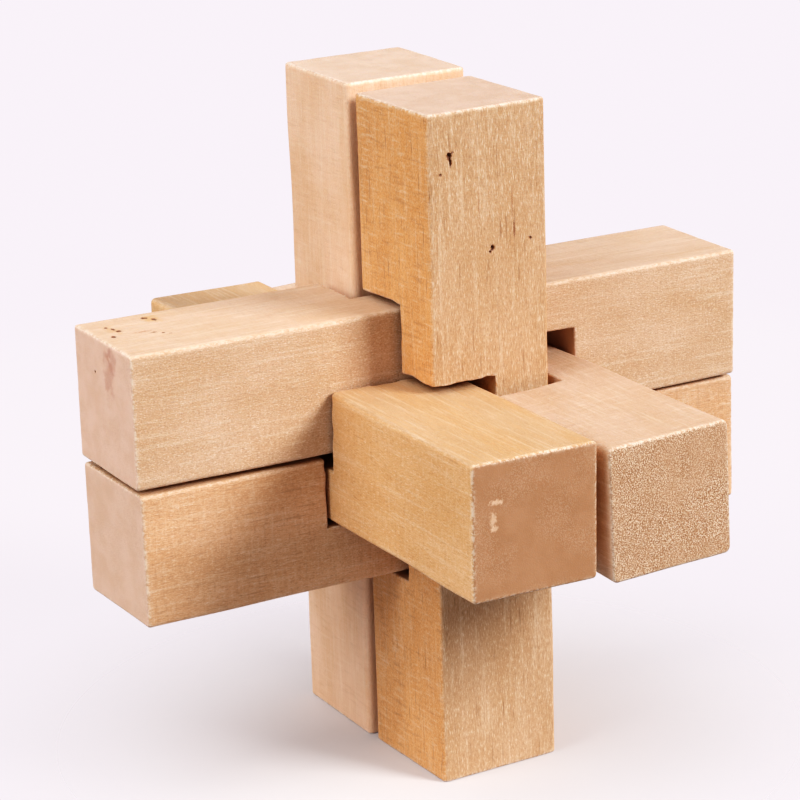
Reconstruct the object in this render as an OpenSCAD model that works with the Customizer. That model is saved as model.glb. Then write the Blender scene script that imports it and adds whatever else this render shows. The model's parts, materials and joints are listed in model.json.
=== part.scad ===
// Six-stick wooden burr puzzle, in millimetres.
//
// Three pairs of square sticks cross at right angles and lock round a hidden
// core. X runs along the two cross bars, Y along the two rails (the front is
// -Y) and Z along the two uprights. The puzzle stands on the lower ends of
// the uprights, and the origin is on the ground under the middle of the core.
//
// The joinery is laid out on a grid of half-stick cells, counted from the
// middle of the core: cell [0, 1] runs from the middle to half a stick out.
// Every notch is a plain sawn one, right across a face, as a maker cuts it.
// Five sticks are notched and the sixth, the key, is a plain square stick:
// it slides out along Z, then the lower cross bar comes out to the back, the
// left rail to the left, the upper cross bar to the back and the right rail
// to the right.

/* [Sticks] */
// Width and depth of every square stick
stick_w = 15; // [12:0.5:18]
// Length of a stick
stick_len = 76; // [64:1:120]
// How much longer the key upright is than the others
key_extra = 0.8; // [0:0.1:2]
// Bevel that sanding leaves along the long edges
eased_edge = 0.5; // [0.2:0.1:1.2]

/* [Fit] */
// Gap between the two sticks of a pair
pair_gap = 0.5; // [0.4:0.1:1]
// How far each notch is cut past its grid lines on every side
saw_gap = 0.45; // [0.4:0.05:0.7]
// Extra depth of the notches behind the front upright
deep_front = 0.35; // [0.3:0.05:1]
// Extra depth of the notch under the upper cross bar
deep_under = 1.2; // [0:0.1:2]
// Extra width of that notch at its right end
wide_under = 0.3; // [0.2:0.1:1]
// Extra depth of the right half of the notch in the lower cross bar
deep_right = 1.0; // [0.9:0.1:2]
// Extra depth of the notch on top of the left rail
deep_left = 1.1; // [0:0.1:2]
// Extra depth of the long channel in the right rail
deep_channel = 0.7; // [0.6:0.1:1.5]
// Extra room behind the key in both rails
key_room = 0.4; // [0.4:0.1:1]

/* [Lie of the sticks] */
// Upper cross bar: shift along X, Y and Z
upper_shift = [-0.35, -0.45, 0];
// Upper cross bar: turn about X, Y and Z in degrees
upper_turn = [0, 0.15, -0.8];
// Lower cross bar: shift
lower_shift = [-0.05, 0, 0];
// Lower cross bar: turn
lower_turn = [-0.5, 0, -0.2];
// Left rail: shift
left_shift = [-0.25, 0.1, -0.1];
// Left rail: turn
left_turn = [0, 0.7, -0.3];
// Right rail: shift, for it sags onto the floor of its notch
right_shift = [0.25, -0.3, -0.95];
// Right rail: turn
right_turn = [0, -1.8, 0.2];
// Front upright: shift
front_shift = [0.5, 0.05, 0];
// Front upright: turn
front_turn = [0, 0, 1.4];
// Key upright: shift
key_shift = [0.2, 0.55, 0];
// Key upright: turn
key_turn = [0, 0, -0.6];

/* [Hidden] */
cell = (stick_w + pair_gap) / 2;
core_z = stick_len / 2;
WARM_WOOD = [0.87, 0.67, 0.43];
PALE_WOOD = [0.88, 0.70, 0.52];

// Outline of a stick's section: a square with bevelled corners
function eased_square(w, e) = [
  for (turn = [0:90:270], side = [[w / 2, w / 2 - e], [w / 2 - e, w / 2]])
    [side[0] * cos(turn) - side[1] * sin(turn), side[0] * sin(turn) + side[1] * cos(turn)]
];

// A square stick along Z, from -below to above
module stick(below, above) {
  translate([0, 0, -below])
    linear_extrude(below + above)
      polygon(eased_square(stick_w, eased_edge));
}

// A notch between grid lines x, y and z, cut past them by the saw gap
module notch(x, y, z) {
  low = [x[0], y[0], z[0]] * cell - [1, 1, 1] * saw_gap;
  high = [x[1], y[1], z[1]] * cell + [1, 1, 1] * saw_gap;
  translate(low)
    cube(high - low);
}

// A child drawn round the middle of the core, lifted onto the ground and
// settled: turned about its own middle, then shifted
module settle(middle, shift, turn) {
  translate([0, 0, core_z] + middle + shift)
    rotate(turn)
      translate(-middle)
        children();
}

// Front upright: stands on the ground and carries the rest. Notched behind
// for both cross bars and at the left for the left rail.
module upright_front() {
  middle = [0, -cell, 0];
  behind = -1 - deep_front / cell;
  color(WARM_WOOD)
    settle(middle, front_shift, front_turn)
      difference() {
        translate(middle)
          stick(core_z, core_z);
        notch([-1, 0], [-2, 0], [-1, 1]);
        notch([-1, 0], [behind, 0], [-2, 2]);
        notch([-1, 1], [behind, 0], [1, 2]);
        notch([-1, 1], [behind, 0], [-2, -1]);
      }
}

// Key upright: a plain stick, the first to leave
module key_upright() {
  middle = [0, cell, 0];
  color(PALE_WOOD)
    settle(middle, key_shift, key_turn)
      translate(middle)
        stick(core_z, core_z + key_extra);
}

// Upper cross bar: notched behind for the key, and underneath for the front
// upright and the right rail
module cross_bar_upper() {
  middle = [0, 0, cell];
  color(WARM_WOOD)
    settle(middle, upper_shift, upper_turn)
      difference() {
        translate(middle)
          rotate([0, 90, 0])
            stick(core_z, core_z);
        notch([-1, 1], [0, 1], [0, 2]);
        notch([0, 2 + wide_under / cell], [-1, 1], [0, 1 + deep_under / cell]);
      }
}

// Lower cross bar: notched on top right across the core, deeper at the right,
// and behind for the key
module cross_bar_lower() {
  middle = [0, 0, -cell];
  color(WARM_WOOD)
    settle(middle, lower_shift, lower_turn)
      difference() {
        translate(middle)
          rotate([0, 90, 0])
            stick(core_z, core_z);
        notch([-1, 1], [0, 1], [-2, 0]);
        notch([-2, 2], [-1, 1], [-1, 0]);
        notch([0, 2], [-1, 1], [-1 - deep_right / cell, 0]);
      }
}

// Left rail: notched on top for the upper cross bar and at its right side for
// the key
module rail_left() {
  middle = [-cell, 0, 0];
  color(WARM_WOOD)
    settle(middle, left_shift, left_turn)
      difference() {
        translate(middle)
          rotate([90, 0, 0])
            stick(core_z, core_z);
        notch([-2, 0], [-1, 1], [-deep_left / cell, 1]);
        notch([-1, 0], [0, 2 + key_room / cell], [-1, 1]);
      }
}

// Right rail: one long channel at its left side, past both uprights
module rail_right() {
  middle = [cell, 0, 0];
  color(WARM_WOOD)
    settle(middle, right_shift, right_turn)
      difference() {
        translate(middle)
          rotate([90, 0, 0])
            stick(core_z, core_z);
        notch([0, 1 + deep_channel / cell], [-2, 2 + key_room / cell], [-1.2, 1.2]);
      }
}

upright_front();
key_upright();
cross_bar_upper();
cross_bar_lower();
rail_left();
rail_right();
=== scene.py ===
"""Looks of the six-stick wooden burr puzzle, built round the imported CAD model.

Each stick is remade as one closed mesh: its own axes, size and notches are read from its CAD node,
then worn edges, torn notch arrises, chips and pits are cut into it as a distance field, always inwards.
Lengths are in millimetres inside a stick's own frame, where local Z runs along the grain and the
flanks are the faces square to local X.
"""

import itertools
import json
import math

import bpy
import numpy as np
from mathutils import Matrix, Vector
from mathutils.bvhtree import BVHTree


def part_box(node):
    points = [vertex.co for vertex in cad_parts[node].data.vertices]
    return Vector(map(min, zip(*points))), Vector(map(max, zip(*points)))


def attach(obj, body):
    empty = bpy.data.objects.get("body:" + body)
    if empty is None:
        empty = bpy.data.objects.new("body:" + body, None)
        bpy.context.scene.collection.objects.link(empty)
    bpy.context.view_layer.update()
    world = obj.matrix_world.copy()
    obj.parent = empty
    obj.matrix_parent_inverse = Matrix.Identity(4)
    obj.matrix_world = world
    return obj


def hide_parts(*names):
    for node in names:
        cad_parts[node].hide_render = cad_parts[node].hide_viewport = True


# One millimetre in metres
MM = 0.001
# Spacing of the sampling grid at arrises and notches, at torn-out spots, and elsewhere
FINE = 0.17
FINEST = 0.11
COARSE = 0.6
# How far round an arris or a notch face the grid is fine, and how fast it coarsens beyond
FINE_REACH = 1.0
COARSENING = 0.5
# Where the grid starts before the stick, and how far past its end the last line must lie
MARGIN = 0.3
PAST_END = 0.2
# Wear is worked out only this close to the unworn surface
WEAR_REACH = 1.6
# How often each point is moved onto the surface, and the least squared slope trusted in doing so
SURFACE_STEPS = 2
LEAST_STEEPNESS = 0.2
# How square to an axis a CAD face has to be to give that axis, and to count as flat
NEARLY_SQUARE = 0.98
SQUARE = 0.999
# Smallest CAD face that counts, in square millimetres, and the least step between two levels
LEAST_AREA = 0.5
LEAST_STEP = 0.03
# A notch that ends this close to a face of the stick is open there, and its box is carried past it
OPEN_END = 0.05
NOTCH_OVERRUN = 4.0
# Direction of the rays that tell wood from air, slanted to every face
SLANT = Vector((0.36, 0.48, 0.8)).normalized()
# Depth of the fine ripple on the long faces and of the roughness on the ends
RIPPLE = 0.03
END_ROUGHNESS = 0.04
# How much the rounding of the long edges wanders, as a share of it
ROUNDING_WANDER = 0.45
# Rounding of the notch arrises, and how fast tearing fades below the stick's faces
NOTCH_ROUND = 0.1
TEAR_FADE = 0.6
# Width of the band painted pale along long edges, end edges and notch arrises: rubbed wear and a painted
# highlight
LONG_ARRIS = 0.4
END_ARRIS = 0.3
NOTCH_ARRIS = 0.25
# Random values that all the lumps are drawn from
LATTICE = np.random.default_rng(11).uniform(-1.0, 1.0, (64, 64, 64))

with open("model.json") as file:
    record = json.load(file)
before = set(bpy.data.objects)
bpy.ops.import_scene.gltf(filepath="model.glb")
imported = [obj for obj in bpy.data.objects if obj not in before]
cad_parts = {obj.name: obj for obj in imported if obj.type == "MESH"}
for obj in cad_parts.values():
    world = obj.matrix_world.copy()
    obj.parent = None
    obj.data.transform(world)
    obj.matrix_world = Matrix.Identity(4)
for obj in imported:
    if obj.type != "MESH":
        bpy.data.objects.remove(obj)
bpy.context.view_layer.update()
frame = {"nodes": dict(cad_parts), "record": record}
low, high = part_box("upright_front")
# Middle of the core where the six sticks cross
CORE = Vector((0, 0, (low.z + high.z) / 2))


# ---------------------------------------------------------------- noise and distance fields

def lumps(points, size, seed):
    """Smooth random field from -1 to 1, with lumps of the given size in mm (one number or three)."""
    place = points / np.asarray(size, float) + seed * np.array([7.31, 3.77, 5.93])
    cell = np.floor(place).astype(int)
    part = place - cell
    part = part * part * (3 - 2 * part)
    total = np.zeros(len(points))
    for corner in itertools.product((0, 1), repeat=3):
        at = (cell + corner) & 63
        share = np.prod(np.where(corner, part, 1 - part), axis=1)
        total += share * LATTICE[at[:, 0], at[:, 1], at[:, 2]]
    return total


def round_max(a, b, radius):
    """Intersection of two distance fields with a rounded arris."""
    u = np.maximum(a + radius, 0)
    v = np.maximum(b + radius, 0)
    return np.minimum(np.maximum(a, b), -radius) + np.hypot(u, v)


def box_distance(points, box):
    """Signed distance to an axis-parallel box given as (low, high)."""
    low, high = box
    q = np.abs(points - (low + high) / 2) - (high - low) / 2
    outside = np.linalg.norm(np.maximum(q, 0), axis=1)
    return outside + np.minimum(q.max(axis=1), 0)


# ---------------------------------------------------------------- what the CAD node says

def stick_axes(node):
    """Rows: the stick's two cross axes and its grain axis, averaged from the flat faces of the CAD node."""
    mesh = node.data
    corners = np.array([v.co for v in mesh.vertices]) / MM
    normals = np.array([p.normal for p in mesh.polygons])
    areas = np.array([p.area for p in mesh.polygons])
    grain = int(np.argmax(np.ptp(corners, axis=0)))
    rows = []
    for k in ((grain + 1) % 3, (grain + 2) % 3, grain):
        weight = np.where(np.abs(normals[:, k]) > NEARLY_SQUARE, areas * np.sign(normals[:, k]), 0)
        axis = weight @ normals
        rows.append(axis / np.linalg.norm(axis))
    return np.array(rows)


def flat_levels(local, node, axes, k):
    """Where the CAD node has flat faces square to local axis k, as sorted positions."""
    levels = []
    for p in node.data.polygons:
        if abs(np.dot(p.normal, axes[k])) > SQUARE and p.area > LEAST_AREA * MM * MM:
            level = local[list(p.vertices), k].mean()
            if all(abs(level - other) > LEAST_STEP for other in levels):
                levels.append(level)
    return sorted(levels)


def is_inside(tree, point):
    """Whether a point is in the solid, by counting the faces that a slanted ray crosses."""
    origin = Vector(point)
    past_the_face = SLANT * 1e-4
    hits = 0
    while True:
        hit = tree.ray_cast(origin, SLANT)[0]
        if hit is None:
            return hits % 2 == 1
        hits += 1
        origin = hit + past_the_face


def notch_boxes(node, axes, middle, half):
    """The stick's notches as the largest empty boxes between its flat faces, in its local frame."""
    local = np.array([v.co for v in node.data.vertices]) / MM @ axes.T - middle
    polygons = [list(p.vertices) for p in node.data.polygons]
    tree = BVHTree.FromPolygons([Vector(c) for c in local], polygons)
    levels = [flat_levels(local, node, axes, k) for k in range(3)]
    sizes = [len(v) - 1 for v in levels]
    empty = np.zeros(sizes, bool)
    for cell in itertools.product(*(range(s) for s in sizes)):
        centre = [(levels[k][cell[k]] + levels[k][cell[k] + 1]) / 2 for k in range(3)]
        empty[cell] = not is_inside(tree, centre)
    spans = [list(itertools.combinations(range(s + 1), 2)) for s in sizes]
    found = []
    for span in itertools.product(*spans):
        block = empty[tuple(slice(a, b) for a, b in span)]
        if block.all():
            found.append(span)
    found = [s for s in found if not any(s != t and holds(t, s) for t in found)]
    boxes = []
    for span in found:
        low = np.array([levels[k][span[k][0]] for k in range(3)])
        high = np.array([levels[k][span[k][1]] for k in range(3)])
        low = np.where(low < -half + OPEN_END, low - NOTCH_OVERRUN, low)
        high = np.where(high > half - OPEN_END, high + NOTCH_OVERRUN, high)
        boxes.append((low, high))
    return boxes, levels


def holds(outer, inner):
    """Whether one block of cells holds another."""
    return all(o[0] <= i[0] and i[1] <= o[1] for o, i in zip(outer, inner))


# ---------------------------------------------------------------- the worn stick as a distance field

class Stick:
    """One stick: its frame and notches from CAD, its wear from the look."""

    def __init__(self, name, look):
        node = frame["nodes"][name]
        self.look = look
        self.seed = look["seed"]
        self.axes = stick_axes(node)
        spots = np.array([v.co for v in node.data.vertices]) / MM @ self.axes.T
        self.middle = (spots.min(0) + spots.max(0)) / 2
        self.half = np.ptp(spots, axis=0) / 2
        self.notches, self.levels = notch_boxes(node, self.axes, self.middle, self.half)
        self.dents = [tuple(np.array(v, float) for v in dent) for dent in look["dents"]]

    def outer(self, p):
        """The stick without its notches: eased long edges, nearly sharp ends, faces a little uneven."""
        look, seed = self.look, self.seed
        radius = look["round"] * (1 + ROUNDING_WANDER * lumps(p, (20, 20, 9), seed))
        sink = look["uneven"] * (1 + lumps(p, (9, 9, 15), seed + 1)) / 2
        sink = sink + RIPPLE * (1 + lumps(p, (2.2, 2.2, 3.5), seed + 2)) / 2
        q = np.abs(p[:, :2]) - (self.half[:2] - radius[:, None])
        side = np.hypot(np.maximum(q[:, 0], 0), np.maximum(q[:, 1], 0))
        side = side + np.minimum(q.max(axis=1), 0) - radius + sink
        end = np.abs(p[:, 2]) - self.half[2]
        rough = END_ROUGHNESS * (1 + lumps(p, 1.3, seed + 3)) / 2
        return round_max(side, end + rough, look["end_round"])

    def cut(self, p):
        """The notches, negated: above zero inside a notch."""
        return -np.min([box_distance(p, box) for box in self.notches], axis=0)

    def field(self, p):
        """Signed distance to the worn stick at local points: below zero in the wood."""
        body = self.outer(p)
        if self.notches:
            depth = np.maximum(-body, 0)
            tear = np.maximum(lumps(p, self.look["tear_size"], self.seed + 5) + 0.15, 0)
            tear = self.look["tear"] * tear * np.exp(-depth / TEAR_FADE)
            body = round_max(body, self.cut(p) + tear, NOTCH_ROUND)
        return np.maximum(body, self.dent_depth(p))

    def dent_depth(self, p):
        """How far points lie inside a torn-out spot; below zero outside. Two sizes of lumps fray its rim."""
        depth = np.full(len(p), -1.0)
        for centre, size in self.dents:
            reach = np.linalg.norm((p - centre) / size, axis=1)
            near = reach < 2
            frayed = 0.3 * lumps(p[near], 0.3, self.seed + 7) + 0.2 * lumps(p[near], 0.13, self.seed + 8)
            depth[near] = np.maximum(depth[near], (1 - reach[near] - frayed) * size.min())
        return depth

    def gradient(self, p, value):
        """Direction in which the field grows, by small steps."""
        step = 0.01
        moves = np.eye(3) * step
        return np.stack([(self.field(p + m) - value) / step for m in moves], axis=1)

    def lines(self, k):
        """Grid lines along local axis k, close together at edges, notch faces and dents."""
        special = [(level, FINE_REACH, FINE) for level in (-self.half[k], self.half[k], *self.levels[k])]
        special += [(centre[k], size[k], FINEST) for centre, size in self.dents]
        level, reach, finest = np.array(special).T
        at = -self.half[k] - MARGIN
        lines = [at]
        while at < self.half[k] + PAST_END:
            away = np.maximum(np.abs(at - level) - reach, 0)
            at += min(COARSE, (finest + COARSENING * away).min())
            lines.append(at)
        return np.array(lines)


# ---------------------------------------------------------------- distance field to mesh

def sample_grid(stick, lines):
    """The field at every crossing of the grid lines; wear is worked out only close to the surface."""
    grid = np.stack(np.meshgrid(*lines, indexing="ij"), axis=-1)
    points = grid.reshape(-1, 3)
    rough = (np.abs(points) - stick.half).max(axis=1)
    if stick.notches:
        rough = np.maximum(rough, stick.cut(points))
    near = np.abs(rough) < WEAR_REACH
    rough[near] = stick.field(points[near])
    return rough.reshape(grid.shape[:3])


def cell_points(lines, values, cells):
    """One start point in each cell: the mean of where its edges cross the surface."""
    total = np.zeros((len(cells), 3))
    count = np.zeros(len(cells))
    for k in range(3):
        for near, far in itertools.product((0, 1), repeat=2):
            start = cells.copy()
            start[:, (k + 1) % 3] += near
            start[:, (k + 2) % 3] += far
            stop = start.copy()
            stop[:, k] += 1
            a = values[tuple(start.T)]
            b = values[tuple(stop.T)]
            crosses = (a < 0) != (b < 0)
            share = np.where(crosses, a / np.where(crosses, a - b, 1), 0)
            spot = np.stack([lines[i][start[:, i]] for i in range(3)], axis=1)
            spot[:, k] += share * (lines[k][stop[:, k]] - lines[k][start[:, k]])
            total += np.where(crosses[:, None], spot, 0)
            count += crosses
    return total / count[:, None]


def cell_quads(inside, index):
    """One quad round every grid edge that crosses the surface, facing out of the wood."""
    quads = []
    for k in range(3):
        b, c = (k + 1) % 3, (k + 2) % 3
        low = np.moveaxis(inside, (k, b, c), (0, 1, 2))
        cells = np.moveaxis(index, (k, b, c), (0, 1, 2))
        change = low[:-1] != low[1:]
        i, j, m = np.nonzero(change[:, 1:-1, 1:-1])
        j, m = j + 1, m + 1
        around = [cells[i, j - 1, m - 1], cells[i, j, m - 1], cells[i, j, m], cells[i, j - 1, m]]
        ring = np.stack(around, axis=1)
        outward = low[i, j, m]
        quads.append(np.where(outward[:, None], ring, ring[:, ::-1]))
    return np.concatenate(quads)


def skin(stick):
    """Points and quads of the stick's surface, each point moved onto the surface inside its own cell."""
    lines = [stick.lines(k) for k in range(3)]
    values = sample_grid(stick, lines)
    inside = values < 0
    shape = tuple(n - 1 for n in inside.shape)
    corners = np.zeros(shape, int)
    for corner in itertools.product((0, 1), repeat=3):
        corners += inside[tuple(slice(c, c + s) for c, s in zip(corner, shape))]
    active = (corners > 0) & (corners < 8)
    index = np.full(shape, -1)
    index[active] = np.arange(active.sum())
    cells = np.argwhere(active)
    points = cell_points(lines, values, cells)
    low = np.stack([lines[k][cells[:, k]] for k in range(3)], axis=1)
    high = np.stack([lines[k][cells[:, k] + 1] for k in range(3)], axis=1)
    for _ in range(SURFACE_STEPS):
        value = stick.field(points)
        slope = stick.gradient(points, value)
        steepness = np.maximum((slope**2).sum(axis=1), LEAST_STEEPNESS)
        points = points - slope * (value / steepness)[:, None]
        points = np.clip(points, low, high)
    slope = stick.gradient(points, stick.field(points))
    normals = slope / np.maximum(np.linalg.norm(slope, axis=1), 1e-6)[:, None]
    return points, normals, cell_quads(inside, index)


def ease(value, low, high):
    """0 below low, 1 above high, smooth between."""
    t = np.clip((value - low) / (high - low), 0, 1)
    return t * t * (3 - 2 * t)


def band(distance, width):
    """1 at a line, falling off softly over the given width."""
    return np.exp(-((distance / width) ** 2))


def surface_marks(stick, points, normals):
    """What the material needs to know of each point, from 0 to 1."""
    outer = stick.outer(points)
    below = np.maximum(stick.half - np.abs(points), 0)
    long_arris = band(below[:, :2].max(axis=1), LONG_ARRIS)
    end_arris = band(np.maximum(below[:, 2], below[:, :2].min(axis=1)), END_ARRIS)
    # The arris mark: where edges are painted pale, partly rubbed wear, partly a painted highlight
    arris = np.maximum(stick.look["long_arris"] * long_arris, end_arris) * (outer > -END_ARRIS)
    sawn = np.zeros(len(points))
    if stick.notches:
        cut = stick.cut(points)
        # The sawn mark: notch faces, painted darker, partly sawn wood and partly painted shade in the
        # notches
        sawn = ease(cut - outer, -0.05, 0.1)
        notch_arris = band(np.abs(cut), NOTCH_ARRIS) * (outer > -NOTCH_ARRIS)
        arris = np.maximum(arris, 0.6 * notch_arris)
    return {
        "end_grain": ease(np.abs(normals[:, 2]), 0.55, 0.9),
        "flank": ease(np.abs(normals[:, 0]), 0.3, 0.95),
        "arris": arris,
        "sawn": sawn,
        "pit": ease(stick.dent_depth(points), -0.04, 0.0),
    }


def build_stick(name, look, record):
    """Makes one stick's mesh and material, puts it in place, hangs it under the body that holds its CAD node
    and hides that node.
    """
    stick = Stick(name, look)
    points, normals, quads = skin(stick)
    mesh = bpy.data.meshes.new(name + "_wood")
    mesh.from_pydata((points * MM).tolist(), [], quads.tolist())
    for key, values in surface_marks(stick, points, normals).items():
        attribute = mesh.attributes.new(key, "FLOAT", "POINT")
        attribute.data.foreach_set("value", values.astype(np.float32))
    mesh.polygons.foreach_set("use_smooth", np.ones(len(quads), bool))
    mesh.update()
    piece = bpy.data.objects.new(name + "_stick", mesh)
    bpy.context.scene.collection.objects.link(piece)
    place = Matrix.Identity(4)
    origin = stick.axes.T @ stick.middle * MM
    for i in range(3):
        for j in range(3):
            place[i][j] = stick.axes[j][i]
        place[i][3] = origin[i]
    piece.matrix_world = place
    mesh.materials.append(wood(name, look))
    body = next(b for b, nodes in record["behaviour"]["bodies"].items() if name in nodes)
    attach(piece, body)
    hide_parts(name)
    return piece


# ---------------------------------------------------------------- wood

def colour(red, green, blue):
    """A linear colour from the 0-255 numbers that a screen shows."""
    parts = [c / 255 for c in (red, green, blue)]
    return (*(c / 12.92 if c < 0.04045 else ((c + 0.055) / 1.055) ** 2.4 for c in parts), 1.0)


class Graph:
    """A material's node graph. Each call adds one node and gives back its output."""

    def __init__(self, name):
        self.material = bpy.data.materials.new(name)
        self.material.use_nodes = True
        self.tree = self.material.node_tree
        self.tree.nodes.clear()

    def add(self, kind, inputs=None, out=0, **settings):
        node = self.tree.nodes.new("ShaderNode" + kind)
        for key, value in settings.items():
            setattr(node, key, value)
        for key, value in (inputs or {}).items():
            if isinstance(value, bpy.types.NodeSocket):
                self.tree.links.new(value, node.inputs[key])
            else:
                node.inputs[key].default_value = value
        return node.outputs[out] if node.outputs else None

    def mark(self, name):
        return self.add("Attribute", out=2, attribute_name=name)

    def math(self, operation, a, b=0.0):
        return self.add("Math", {0: a, 1: b}, operation=operation)

    def remap(self, value, low, high, to_low=0.0, to_high=1.0):
        inputs = {0: value, 1: low, 2: high, 3: to_low, 4: to_high}
        return self.add("MapRange", inputs, interpolation_type="SMOOTHSTEP")

    def scaled(self, vector, scale, shift=(0, 0, 0)):
        return self.add("Mapping", {"Vector": vector, "Scale": scale, "Location": shift})

    def noise(self, vector, scale, detail=2.0, rough=0.5):
        stretched = self.scaled(vector, scale)
        inputs = {"Vector": stretched, "Scale": 1.0, "Detail": detail, "Roughness": rough}
        return self.add("TexNoise", inputs)

    def field(self, vector, name):
        return self.noise(vector, *FIELDS[name])

    def mix(self, share, a, b):
        inputs = {0: share, 6: a, 7: b}
        return self.add("Mix", inputs, out=2, data_type="RGBA", blend_type="MIX")


# The noise fields of the wood: lumps per millimetre across, across and along the grain, then
# detail and roughness
FIELDS = {
    "ring_drift": ((0.06, 0.06, 0.014), 2.0, 0.5),
    "patch": ((0.17, 0.17, 0.08), 4.0, 0.6),
    "streaks": ((2.2, 2.2, 0.12), 3.0, 0.6),
    "dashes": ((8.5, 8.5, 1.6), 2.0, 0.55),
    "speckle": ((7.0, 7.0, 4.5), 2.0, 0.6),
    "lines": ((3.4, 3.4, 0.2), 2.0, 0.5),
    "chatter": ((0.3, 0.3, 2.4), 3.0, 0.6),
    "end_clouds": ((0.35, 0.35, 0.35), 4.0, 0.6),
    "end_gather": ((0.16, 0.16, 0.16), 2.0, 0.5),
    "end_specks": ((7.5, 7.5, 7.5), 1.0, 0.5),
    "saw_lines": ((0.5, 0.5, 2.2), 2.0, 0.5),
    # Breaks the pale arrises, rubbed wear and a painted highlight, into stretches
    "rubbing_and_glints": ((2.6, 2.6, 1.6), 3.0, 0.7),
    "gloss": ((0.8, 0.8, 0.2), 3.0, 0.5),
}


def growth_rings(g, at, look):
    """Bands of early and late wood round a far pith, from 0 to 1."""
    drift = g.math("MULTIPLY", g.field(at, "ring_drift"), look["ring_drift"])
    from_pith = g.scaled(at, (1, 1, look["ring_slope"]), (*look["pith"], 0))
    flat = g.add("VectorMath", {0: from_pith, 1: (1, 1, 0)}, operation="MULTIPLY")
    reach = g.add("VectorMath", {0: flat}, out=1, operation="LENGTH")
    turns = g.math("MULTIPLY", g.math("ADD", reach, drift), 2 * math.pi / look["ring_gap"])
    return g.remap(g.math("SINE", turns), -0.6, 1.0)


def broad_tones(g, at, flank, look):
    """Colour of the long faces before pores: broad drift between two tones, rings and soft streaks."""
    one = g.mix(flank, look["light"], look["flank_light"])
    two = g.mix(flank, look["deep"], look["flank_deep"])
    base = g.mix(g.remap(g.field(at, "patch"), 0.32, 0.68), one, two)
    rings = growth_rings(g, at, look)
    base = g.mix(g.math("MULTIPLY", rings, look["ring_strength"]), base, look["ring_colour"])
    streaks = g.field(at, "streaks")
    base = g.mix(g.remap(streaks, 0.5, 0.72, 0.0, 0.3), base, look["deep"])
    return g.mix(g.remap(streaks, 0.5, 0.3, 0.0, 0.2), base, look["pale"])


def marked(g, tone, field, amount, look):
    """Dark where a noise field is high and pale where it is low."""
    dark = g.math("MULTIPLY", g.remap(field, 0.53, 0.72), amount)
    tone = g.mix(dark, tone, look["pore_colour"])
    bright = g.math("MULTIPLY", g.remap(field, 0.47, 0.28), amount)
    return g.mix(bright, tone, look["pale"])


def face_tones(g, at, flank, marks, look):
    """The long faces: broad tones under dashes, speckle, chatter and a few long dark lines."""
    tone = broad_tones(g, at, flank, look)
    for key, field in marks.items():
        tone = marked(g, tone, field, g.remap(flank, 0.0, 1.0, *look[key]), look)
    long_lines = g.math("MULTIPLY", g.remap(g.field(at, "lines"), 0.63, 0.72), look["lines"])
    return g.mix(long_lines, tone, look["pore_colour"])


def end_tones(g, specks, at, look):
    """End grain: soft clouds of two tones under dark and bright specks that gather in places."""
    clouds = g.remap(g.field(at, "end_clouds"), 0.35, 0.65)
    tone = g.mix(clouds, look["end_light"], look["end_deep"])
    gather = g.remap(g.field(at, "end_gather"), 0.4, 0.6, look["end_gather"], 1.0)
    amount = g.math("MULTIPLY", gather, look["end_speckle"])
    dark = g.math("MULTIPLY", g.remap(specks, 0.52, 0.63), amount)
    tone = g.mix(dark, tone, look["end_dark"])
    bright = g.math("MULTIPLY", g.remap(specks, 0.48, 0.37), amount)
    return g.mix(bright, tone, look["end_bright"])


def sawn_tones(g, at, sawn, tone, look):
    """Notch faces: a deeper tone with saw lines across the grain, partly sawn wood and partly painted shade
    in the notches.
    """
    saw_lines = g.remap(g.field(at, "saw_lines"), 0.35, 0.65, 0.0, 0.5)
    sawn_tone = g.mix(saw_lines, look["sawn"], look["deep"])
    return g.mix(g.math("MULTIPLY", sawn, 0.75), tone, sawn_tone)


def rubbed_and_highlit_arrises(g, at, arris, tone, look):
    """Edges painted pale in broken stretches: partly rubbed wear, partly a painted highlight."""
    rubbed_and_highlit = g.math("MULTIPLY", arris, g.remap(g.field(at, "rubbing_and_glints"), 0.42, 0.6))
    return g.mix(g.math("MULTIPLY", rubbed_and_highlit, look["arris_light"]), tone, look["rubbed_and_highlit"])


def stained(g, here, tone, centre, size, stain, strength):
    """A soft-edged, broken-up spot of another colour at a place on the stick."""
    inverse = tuple(1 / s for s in size)
    from_centre = g.add("VectorMath", {0: here, 1: centre}, operation="SUBTRACT")
    scaled = g.add("VectorMath", {0: from_centre, 1: inverse}, operation="MULTIPLY")
    reach = g.add("VectorMath", {0: scaled}, out=1, operation="LENGTH")
    fray = g.remap(g.noise(here, (1.5 / min(size),) * 3, 3.0), 0.3, 0.7, -0.3, 0.3)
    return g.mix(g.remap(g.math("ADD", reach, fray), 1.0, 0.35, 0.0, strength), tone, stain)


def fine_relief(g, end, marks, specks, look):
    """The fine relief that goes with the marks: pores and chatter on the faces, specks on the ends."""
    dashes = g.math("MULTIPLY", marks["dashes"], -1.2)
    speckle = g.math("MULTIPLY", marks["speckle"], -0.8)
    chatter = g.math("MULTIPLY", marks["chatter"], -1.0)
    face = g.math("ADD", g.math("ADD", dashes, speckle), chatter)
    height = g.math("MULTIPLY", face, g.math("SUBTRACT", 1.0, end))
    end_height = g.math("MULTIPLY", g.math("MULTIPLY", specks, -look["end_relief"]), end)
    height = g.math("ADD", height, end_height)
    return g.add("Bump", {"Height": height, "Strength": look["relief"], "Distance": 0.1 * MM})


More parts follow.
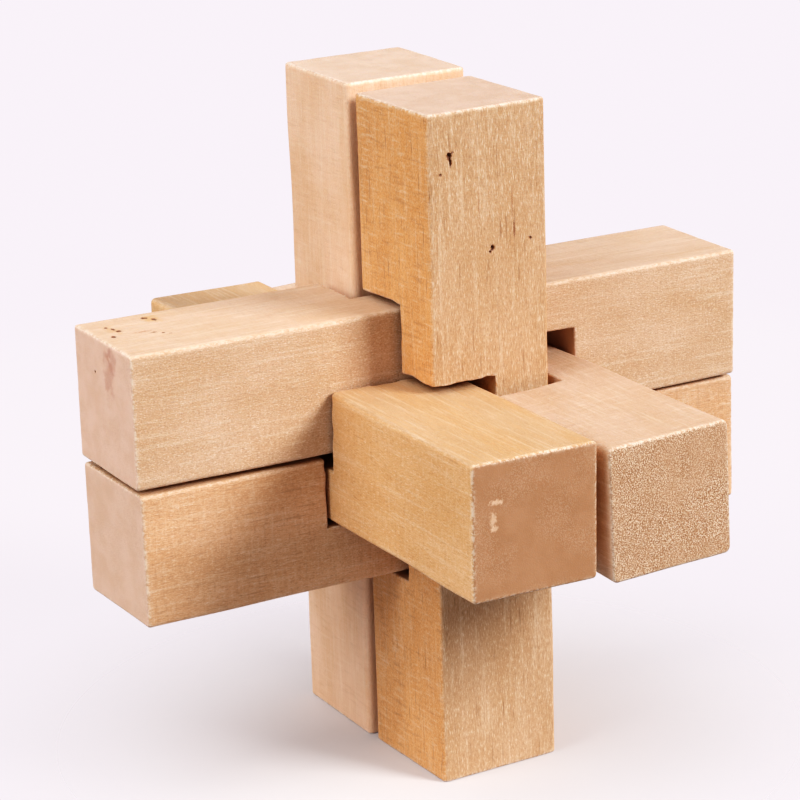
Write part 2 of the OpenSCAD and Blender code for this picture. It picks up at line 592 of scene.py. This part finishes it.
def wood(name, look):
    """Raw sanded hardwood: dashes, speckle, end grain, arrises worn with painted highlight, notches sawn
    with painted shade, stains, pits.
    """
    g = Graph(name + "_wood")
    objects = g.add("TexCoord", out=3)
    here = g.scaled(objects, (1 / MM, 1 / MM, 1 / MM))
    # Each stick shows another part of the noise fields
    shift = [look["seed"] * 17.0, look["seed"] * -9.0, look["seed"] * 31.0]
    at = g.scaled(objects, (1 / MM, 1 / MM, 1 / MM), shift)
    end, flank, arris, sawn, pit = (g.mark(m) for m in ("end_grain", "flank", "arris", "sawn", "pit"))
    marks = {key: g.field(at, key) for key in ("dashes", "speckle", "chatter")}
    specks = g.field(at, "end_specks")

    tone = face_tones(g, at, flank, marks, look)
    tone = g.mix(end, tone, end_tones(g, specks, at, look))
    # Notch faces painted darker: partly sawn wood, partly painted shade in the notches
    tone = sawn_tones(g, at, sawn, tone, look)
    # Arrises painted pale: partly rubbed wear, partly a painted highlight along the edges
    tone = rubbed_and_highlit_arrises(g, at, arris, tone, look)
    for centre, size, stain, strength in look["stains"]:
        tone = stained(g, here, tone, centre, size, stain, strength)
    tone = g.mix(g.math("MULTIPLY", pit, 0.85), tone, look["pit_colour"])

    gloss = g.field(at, "gloss")
    inputs = {
        "Base Color": tone,
        "Roughness": g.remap(gloss, 0.3, 0.7, look["rough"] - 0.07, look["rough"] + 0.08),
        "Normal": fine_relief(g, end, marks, specks, look),
        "IOR": 1.45,
        "Specular IOR Level": 0.4,
        "Subsurface Weight": 0.06,
        "Subsurface Radius": (1.0, 0.45, 0.2),
        "Subsurface Scale": 0.6 * MM,
    }
    shader = g.add("BsdfPrincipled", inputs)
    g.add("OutputMaterial", {"Surface": shader})
    return g.material


# ---------------------------------------------------------------- looks of the six sticks

def tinted(tone, red, green, blue):
    """A linear colour scaled channel by channel, kept below white."""
    return (*(min(c * f, 0.98) for c, f in zip(tone, (red, green, blue))), 1.0)


def blended(one, two, share):
    """A linear colour between two others."""
    return (*(a + (b - a) * share for a, b in zip(one[:3], two[:3])), 1.0)


# Channel factors for the lighter and deeper of a face's two tones, and the cream of its pale marks
LIGHTER = (1.05, 1.06, 1.09)
DEEPER = (0.93, 0.88, 0.8)
CREAM = colour(255, 240, 220)


def stick_look(tone, flank_tone, end_tone, **changes):
    """A stick's wear and colours, worked out from the tones of its faces, flanks and ends.

    Pairs of marks are their strengths on the faces and on the flanks. A dent is its centre and size.
    A stain is its centre, size, colour and strength. The tear size is the width of the torn-out lumps.
    """
    common = {
        "seed": 1,
        "round": 0.5,
        "end_round": 0.3,
        "uneven": 0.08,
        "tear": 0.3,
        "tear_size": 1.3,
        "dents": [],
        "stains": [],
        "light": tinted(tone, *LIGHTER),
        "deep": tinted(tone, *DEEPER),
        "flank_light": tinted(flank_tone, *LIGHTER),
        "flank_deep": tinted(flank_tone, *DEEPER),
        "pale": blended(tone, CREAM, 0.6),
        # Pale colour of the arrises: rubbed wear and a painted highlight
        "rubbed_and_highlit": colour(255, 243, 226),
        "ring_colour": tinted(tone, 0.9, 0.84, 0.76),
        "ring_gap": 3.2,
        "ring_strength": 0.2,
        "ring_drift": 3.0,
        "ring_slope": 1.0,
        "pith": (46.0, 21.0),
        "pore_colour": tinted(tone, 0.52, 0.42, 0.33),
        "dashes": (0.5, 0.3),
        "speckle": (0.25, 0.5),
        "chatter": (0.0, 0.15),
        "lines": 0.3,
        "end_light": tinted(end_tone, 1.03, 1.04, 1.06),
        "end_deep": tinted(end_tone, 0.95, 0.93, 0.9),
        "end_bright": blended(end_tone, CREAM, 0.6),
        "end_dark": tinted(end_tone, 0.4, 0.3, 0.22),
        "end_speckle": 0.1,
        "end_gather": 0.2,
        "end_relief": 0.5,
        # Darker notch faces: sawn wood and painted shade in the notches
        "sawn": tinted(tone, 0.85, 0.76, 0.66),
        # Strengths of the pale arrises, on long edges and overall: rubbed wear and a painted highlight
        "long_arris": 0.3,
        "arris_light": 0.5,
        "pit_colour": colour(92, 44, 20),
        "relief": 0.4,
        "rough": 0.5,
    }
    unknown = set(changes) - set(common)
    if unknown:
        raise ValueError(f"no such part of a look: {sorted(unknown)}")
    return {**common, **changes}


LOOKS = {
    "upright_front": stick_look(
        colour(187, 149, 116),
        colour(218, 157, 99),
        colour(193, 162, 143),
        seed=3,
        dashes=(0.45, 0.25),
        speckle=(0.2, 0.4),
        chatter=(0.0, 0.3),
        lines=0.6,
        dents=[
            ((-4.75, -7.5, 33.3), (0.26, 0.5, 0.36)),
            ((-4.6, -7.5, 32.55), (0.15, 0.4, 0.5)),
            ((-4.3, -7.5, 33.6), (0.13, 0.2, 0.13)),
            ((-5.9, -7.5, 31.4), (0.12, 0.25, 0.12)),
            ((0.42, -7.5, 22.5), (0.18, 0.4, 0.26)),
            ((0.1, -7.5, 22.1), (0.13, 0.3, 0.12)),
            ((5.3, -7.5, 22.9), (0.12, 0.25, 0.16)),
        ],
        stains=[
            ((3.2, -7.5, 24.2), (0.16, 1.0, 1.3), colour(110, 58, 30), 0.8),
            ((3.0, -7.5, 27.0), (0.12, 1.0, 2.4), colour(140, 88, 50), 0.6),
            ((-1.2, -7.5, 27.5), (0.14, 1.0, 2.6), colour(150, 98, 60), 0.4),
        ],
    ),
    "key_upright": stick_look(
        colour(229, 188, 159),
        colour(229, 188, 159),
        colour(199, 169, 149),
        seed=8,
        round=0.7,
        dashes=(0.2, 0.1),
        speckle=(0.1, 0.1),
        lines=0.1,
    ),
    "cross_bar_upper": stick_look(
        colour(202, 169, 145),
        colour(197, 160, 131),
        colour(222, 183, 162),
        seed=5,
        dashes=(0.15, 0.2),
        speckle=(0.1, 0.45),
        chatter=(0.05, 0.05),
        lines=0.15,
        long_arris=0.6,
        dents=[
            ((4.2, 7.5, -35.6), (0.3, 0.25, 0.2)),
            ((3.2, 7.5, -35.2), (0.35, 0.12, 0.15)),
            ((2.3, 7.5, -34.9), (0.3, 0.3, 0.3)),
            ((0.6, 7.5, -36.3), (0.3, 0.3, 0.22)),
            ((5.4, 7.5, -30.6), (0.35, 0.2, 0.35)),
            ((4.3, 7.5, -29.9), (0.45, 0.1, 0.2)),
            ((-0.2, 7.5, -31.9), (0.12, 0.15, 0.35)),
            ((-0.9, 7.5, -31.2), (0.16, 0.2, 0.2)),
            ((-1.5, 7.5, -30.6), (0.14, 0.2, 0.18)),
            ((2.2, 3.45, -38.0), (0.12, 0.12, 0.25)),
        ],
        stains=[
            ((-1.5, 4.0, -38.0), (1.6, 3.4, 2.0), colour(184, 128, 110), 0.45),
            ((-2.6, 5.6, -38.0), (1.6, 1.8, 2.0), colour(176, 118, 100), 0.4),
            ((4.6, 7.5, -30.0), (1.6, 1.0, 1.3), colour(190, 142, 84), 0.6),
            ((3.0, 7.5, -35.4), (2.2, 1.0, 0.9), colour(190, 142, 90), 0.4),
            ((0.6, 7.5, -32.8), (0.35, 1.0, 1.4), colour(160, 100, 60), 0.5),
        ],
    ),
    "cross_bar_lower": stick_look(
        colour(194, 154, 122),
        colour(208, 161, 125),
        colour(218, 180, 158),
        seed=13,
        dashes=(0.3, 0.35),
        speckle=(0.15, 0.3),
        chatter=(0.05, 0.15),
        long_arris=0.5,
    ),
    "rail_left": stick_look(
        colour(216, 168, 122),
        colour(188, 151, 117),
        colour(165, 122, 91),
        seed=21,
        tear=0.5,
        tear_size=1.6,
        dashes=(0.35, 0.12),
        speckle=(0.25, 0.12),
        chatter=(0.15, 0.0),
        long_arris=0.2,
        end_speckle=0.12,
        end_gather=0.0,
        stains=[
            ((3.1, -4.6, -38.0), (0.4, 1.0, 2.0), colour(228, 192, 164), 0.6),
            ((1.3, -5.0, -38.0), (1.2, 0.5, 2.0), colour(228, 192, 164), 0.5),
            ((0.3, -4.9, -38.0), (0.4, 0.6, 2.0), colour(228, 192, 164), 0.5),
        ],
    ),
    "rail_right": stick_look(
        colour(196, 162, 139),
        colour(196, 162, 139),
        colour(179, 139, 108),
        seed=34,
        round=0.75,
        dashes=(0.2, 0.15),
        speckle=(0.1, 0.1),
        lines=0.1,
        long_arris=0.5,
        end_speckle=0.75,
        end_gather=0.6,
        end_relief=1.0,
    ),
}


# ---------------------------------------------------------------- stage, light and camera

# Half the side of the floor and how far it lies under the puzzle's feet, in metres
FLOOR_HALF = 1.2
FLOOR_DROP = 0.00002
# Name, azimuth and elevation in degrees, distance and size in metres, power in watts
LIGHTS = [
    ("key", 35, 30, 1.6, 0.56, 31.0),
    ("right_fill", 85, 35, 1.2, 0.8, 1.0),
    ("left_fill", -90, 30, 1.2, 1.0, 10.0),
    ("upper_left_fill", -70, 60, 1.2, 0.8, 5.0),
    ("overhead", 0, 85, 1.2, 1.0, 1.5),
    ("back", 180, 40, 1.2, 0.9, 3.0),
]
# What the camera sees behind the puzzle, and how strong the even light from all round is
BACKDROP = (0.925, 0.85, 0.925, 1.0)
AMBIENT = 0.26
# Slope and shoulder of the camera's tone curve, and the tones at which it is set
TONE_SLOPE = 1.5
TONE_SHOULDER = 0.8
TONE_STEPS = (0.03, 0.07, 0.14, 0.25, 0.4, 0.55, 0.7, 0.85)
# The camera's azimuth, elevation and roll in degrees, its lens in millimetres, and its place: how many
# millimetres left of the core, above it and away from it, along the camera's own axes
CAMERA_TURN = (-29.11, 17.56, -1.85)
LENS = 138.0
CAMERA_LEFT = 2.16
CAMERA_ABOVE = 1.61
CAMERA_AWAY = 346.8


def pale_paper():
    """Thin pale paper, fainter away from the object until only the backdrop is left."""
    g = Graph("pale_paper")
    objects = g.add("TexCoord", out=3)
    reach = g.add("VectorMath", {0: objects}, out=1, operation="LENGTH")
    paper = g.add("BsdfDiffuse", {"Color": (0.66, 0.62, 0.62, 1.0)})
    clear = g.add("BsdfTransparent")
    near = g.remap(reach, 0.008, 0.06, 0.05, 0.85)
    fade = g.math("MAXIMUM", near, g.remap(reach, 0.07, 0.2))
    g.add("OutputMaterial", {"Surface": g.add("MixShader", {0: fade, 1: paper, 2: clear})})
    return g.material


def pale_floor():
    """A wide floor that takes the puzzle's shadow and fades into the backdrop."""
    mesh = bpy.data.meshes.new("floor")
    signs = ((-1, -1), (1, -1), (1, 1), (-1, 1))
    corners = [(x * FLOOR_HALF, y * FLOOR_HALF, 0) for x, y in signs]
    mesh.from_pydata(corners, [], [(0, 1, 2, 3)])
    mesh.materials.append(pale_paper())
    floor = bpy.data.objects.new("floor", mesh)
    floor.location.z = -FLOOR_DROP
    bpy.context.scene.collection.objects.link(floor)


def direction(azimuth, elevation):
    """Unit vector from the puzzle; azimuth 0 is in front and 90 at the right."""
    a, e = math.radians(azimuth), math.radians(elevation)
    return Vector((math.sin(a) * math.cos(e), -math.cos(a) * math.cos(e), math.sin(e)))


def soft_light(name, azimuth, elevation, distance, size, power):
    """A square soft light aimed at the middle of the puzzle."""
    lamp = bpy.data.lights.new(name, "AREA")
    lamp.shape = "SQUARE"
    lamp.size = size
    lamp.energy = power
    light = bpy.data.objects.new(name, lamp)
    back = direction(azimuth, elevation)
    light.location = CORE + back * distance
    light.rotation_mode = "QUATERNION"
    light.rotation_quaternion = back.to_track_quat("Z", "Y")
    bpy.context.scene.collection.objects.link(light)


def backdrop():
    """A pale backdrop for the camera, and an even, weaker light from all round."""
    world = bpy.data.worlds.new("backdrop")
    bpy.context.scene.world = world
    world.use_nodes = True
    tree = world.node_tree
    tree.nodes.clear()
    seen = tree.nodes.new("ShaderNodeBackground")
    seen.inputs[0].default_value = BACKDROP
    lit = tree.nodes.new("ShaderNodeBackground")
    lit.inputs[0].default_value = (1.0, 1.0, 1.0, 1.0)
    lit.inputs[1].default_value = AMBIENT
    path = tree.nodes.new("ShaderNodeLightPath")
    mix = tree.nodes.new("ShaderNodeMixShader")
    out = tree.nodes.new("ShaderNodeOutputWorld")
    tree.links.new(path.outputs["Is Camera Ray"], mix.inputs[0])
    tree.links.new(lit.outputs[0], mix.inputs[1])
    tree.links.new(seen.outputs[0], mix.inputs[2])
    tree.links.new(mix.outputs[0], out.inputs[0])


def camera_tones():
    """The gentle S-shaped response of a stills camera, the same for all three colours."""
    view = bpy.context.scene.view_settings
    view.view_transform = "Standard"
    view.use_curve_mapping = True
    curve = view.curve_mapping.curves[3]
    for step in TONE_STEPS:
        powered = step**TONE_SLOPE
        curve.points.new(step, (1 + TONE_SHOULDER) * powered / (powered + TONE_SHOULDER))
    view.curve_mapping.update()


def camera():
    """A long lens a little above the table, left of the front, leaning under two degrees."""
    azimuth, elevation, turn = CAMERA_TURN
    roll = math.radians(turn)
    back = direction(azimuth, elevation)
    level = Vector((0, 0, 1)).cross(back).normalized()
    up = back.cross(level)
    right = level * math.cos(roll) + up * math.sin(roll)
    up = up * math.cos(roll) - level * math.sin(roll)
    data = bpy.data.cameras.new("camera")
    data.sensor_width = 36
    data.lens = LENS
    eye = bpy.data.objects.new("camera", data)
    place = Matrix((right, up, back)).transposed().to_4x4()
    aside = right * CAMERA_LEFT * MM
    place.translation = CORE - aside + up * CAMERA_ABOVE * MM + back * CAMERA_AWAY * MM
    eye.matrix_world = place
    bpy.context.scene.collection.objects.link(eye)
    bpy.context.scene.camera = eye


def main():
    for name, own in LOOKS.items():
        build_stick(name, own, frame["record"])
    pale_floor()
    for light in LIGHTS:
        soft_light(*light)
    backdrop()
    camera()
    camera_tones()


main()
